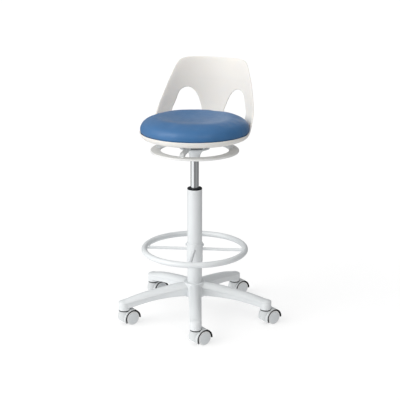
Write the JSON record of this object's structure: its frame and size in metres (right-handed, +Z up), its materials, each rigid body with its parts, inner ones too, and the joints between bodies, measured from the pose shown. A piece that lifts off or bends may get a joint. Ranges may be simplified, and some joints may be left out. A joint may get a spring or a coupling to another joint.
{
  "type": "dentist stool",
  "caption": "Height-adjustable dentist stool: round blue cushion in a white shell with a low open back, ring lever, foot ring and a five-arm base on twin-wheel casters.",
  "frame": {"origin": "on the floor, on the column's axis", "axes": "+Z up; the sitter faces -Y and the back stands on the +Y side; +X is the sitter's left"},
  "size_m": [0.5346, 0.556, 0.87],
  "materials": {
    "white_enamel": "satin",
    "white_plastic": "satin",
    "shell_plastic": "satin",
    "grey_plastic": "semi-gloss",
    "wheel_plastic": "semi-gloss",
    "black_plastic": "satin",
    "chrome_plate": "polished",
    "bare_steel": "turned",
    "buffer_rubber": "matt",
    "plywood": "raw",
    "foam": "open-cell foam",
    "blue_vinyl": "fine grain vinyl"
  },
  "bodies": {
    "base": {"star_base": "white_enamel", "column_tube": "white_enamel", "guide_collar": "black_plastic", "caster_stems": "bare_steel", "caster_sockets": "black_plastic", "bearing_lower_race": "bare_steel", "clip_washer": "bare_steel"},
    "foot_ring": {"foot_ring_rim": "white_enamel", "foot_ring_spokes": "white_enamel", "foot_ring_collar": "white_enamel", "foot_ring_screws": "white_enamel"},
    "lift_rod": {"piston_rod": "bare_steel", "piston": "black_plastic", "bearing_upper_race": "bare_steel", "bearing_cage": "black_plastic", "bearing_balls": "bare_steel", "rod_clip": "bare_steel", "rubber_buffer": "buffer_rubber"},
    "seat": {"gas_cylinder": "chrome_plate", "rod_gland": "bare_steel", "valve_block": "bare_steel", "seat_hub": "white_enamel", "seat_plate": "white_enamel", "fulcrum_ring": "bare_steel", "seat_bolts": "bare_steel", "tee_nuts": "bare_steel", "seat_shell": "shell_plastic", "seat_board": "plywood", "seat_foam": "foam", "seat_cover": "blue_vinyl"},
    "lever": {"lever_hub": "bare_steel", "lever_spokes": "white_enamel", "lever_ring": "white_plastic"},
    "valve_pin": {"release_pin": "bare_steel"},
    "caster_1": {"caster_1_body": "black_plastic", "caster_1_hood": "grey_plastic", "caster_1_axle": "bare_steel"},
    "caster_1_left_wheel": {"caster_1_wheel_left": "wheel_plastic"},
    "caster_1_right_wheel": {"caster_1_wheel_right": "wheel_plastic"},
    "caster_2": {"caster_2_body": "black_plastic", "caster_2_hood": "grey_plastic", "caster_2_axle": "bare_steel"},
    "caster_2_left_wheel": {"caster_2_wheel_left": "wheel_plastic"},
    "caster_2_right_wheel": {"caster_2_wheel_right": "wheel_plastic"},
    "caster_3": {"caster_3_body": "black_plastic", "caster_3_hood": "grey_plastic", "caster_3_axle": "bare_steel"},
    "caster_3_left_wheel": {"caster_3_wheel_left": "wheel_plastic"},
    "caster_3_right_wheel": {"caster_3_wheel_right": "wheel_plastic"},
    "caster_4": {"caster_4_body": "black_plastic", "caster_4_hood": "grey_plastic", "caster_4_axle": "bare_steel"},
    "caster_4_left_wheel": {"caster_4_wheel_left": "wheel_plastic"},
    "caster_4_right_wheel": {"caster_4_wheel_right": "wheel_plastic"},
    "caster_5": {"caster_5_body": "black_plastic", "caster_5_hood": "grey_plastic", "caster_5_axle": "bare_steel"},
    "caster_5_left_wheel": {"caster_5_wheel_left": "wheel_plastic"},
    "caster_5_right_wheel": {"caster_5_wheel_right": "wheel_plastic"}
  },
  "joints": [
    {"name": "foot_ring_height", "type": "slide", "parent": "base", "child": "foot_ring", "axis": [0, 0, 1], "range_m": [-0.065, 0.17]},
    {"name": "seat_swivel", "type": "hinge", "parent": "base", "child": "lift_rod", "pos_m": [0, 0, 0.095], "axis": [0, 0, 1], "continuous": true},
    {"name": "seat_height", "type": "slide", "parent": "lift_rod", "child": "seat", "axis": [0, 0, 1], "range_m": [-0.095, 0.105]},
    {"name": "lever_tilt", "type": "hinge", "parent": "seat", "child": "lever", "pos_m": [-0.03, 0, 0.6118], "axis": [0, 1, 0], "range_deg": [0, 4], "stiffness_Nm_per_rad": 5, "springref_deg": -8.59},
    {"name": "valve_press", "type": "slide", "parent": "seat", "child": "valve_pin", "axis": [0, 0, -1], "range_m": [0, 0.0025]},
    {"name": "caster_1_swivel", "type": "hinge", "parent": "base", "child": "caster_1", "pos_m": [0.08602, -0.23633, 0.05], "axis": [0, 0, 1], "continuous": true},
    {"name": "caster_1_left_spin", "type": "hinge", "parent": "caster_1", "child": "caster_1_left_wheel", "pos_m": [0.09836, -0.21934, 0.02425], "axis": [-0.809, 0.5878, 0], "continuous": true},
    {"name": "caster_1_right_spin", "type": "hinge", "parent": "caster_1", "child": "caster_1_right_wheel", "pos_m": [0.09836, -0.21934, 0.02425], "axis": [-0.809, 0.5878, 0], "continuous": true},
    {"name": "caster_2_swivel", "type": "hinge", "parent": "base", "child": "caster_2", "pos_m": [0.25135, 0.00878, 0.05], "axis": [0, 0, 1], "continuous": true},
    {"name": "caster_2_left_spin", "type": "hinge", "parent": "caster_2", "child": "caster_2_left_wheel", "pos_m": [0.26369, 0.02577, 0.02425], "axis": [-0.809, 0.5878, 0], "continuous": true},
    {"name": "caster_2_right_spin", "type": "hinge", "parent": "caster_2", "child": "caster_2_right_wheel", "pos_m": [0.26369, 0.02577, 0.02425], "axis": [-0.809, 0.5878, 0], "continuous": true},
    {"name": "caster_3_swivel", "type": "hinge", "parent": "base", "child": "caster_3", "pos_m": [0.06932, 0.24176, 0.05], "axis": [0, 0, 1], "continuous": true},
    {"name": "caster_3_left_spin", "type": "hinge", "parent": "caster_3", "child": "caster_3_left_wheel", "pos_m": [0.08167, 0.25875, 0.02425], "axis": [-0.809, 0.5878, 0], "continuous": true},
    {"name": "caster_3_right_spin", "type": "hinge", "parent": "caster_3", "child": "caster_3_right_wheel", "pos_m": [0.08167, 0.25875, 0.02425], "axis": [-0.809, 0.5878, 0], "continuous": true},
    {"name": "caster_4_swivel", "type": "hinge", "parent": "base", "child": "caster_4", "pos_m": [-0.2085, 0.14064, 0.05], "axis": [0, 0, 1], "continuous": true},
    {"name": "caster_4_left_spin", "type": "hinge", "parent": "caster_4", "child": "caster_4_left_wheel", "pos_m": [-0.19616, 0.15763, 0.02425], "axis": [-0.809, 0.5878, 0], "continuous": true},
    {"name": "caster_4_right_spin", "type": "hinge", "parent": "caster_4", "child": "caster_4_right_wheel", "pos_m": [-0.19616, 0.15763, 0.02425], "axis": [-0.809, 0.5878, 0], "continuous": true},
    {"name": "caster_5_swivel", "type": "hinge", "parent": "base", "child": "caster_5", "pos_m": [-0.19819, -0.15484, 0.05], "axis": [0, 0, 1], "continuous": true},
    {"name": "caster_5_left_spin", "type": "hinge", "parent": "caster_5", "child": "caster_5_left_wheel", "pos_m": [-0.18584, -0.13785, 0.02425], "axis": [-0.809, 0.5878, 0], "continuous": true},
    {"name": "caster_5_right_spin", "type": "hinge", "parent": "caster_5", "child": "caster_5_right_wheel", "pos_m": [-0.18584, -0.13785, 0.02425], "axis": [-0.809, 0.5878, 0], "continuous": true}
  ],
  "couplings": [
    {"joint": "valve_press", "follows": "lever_tilt", "m_per_rad": 0.03}
  ]
}
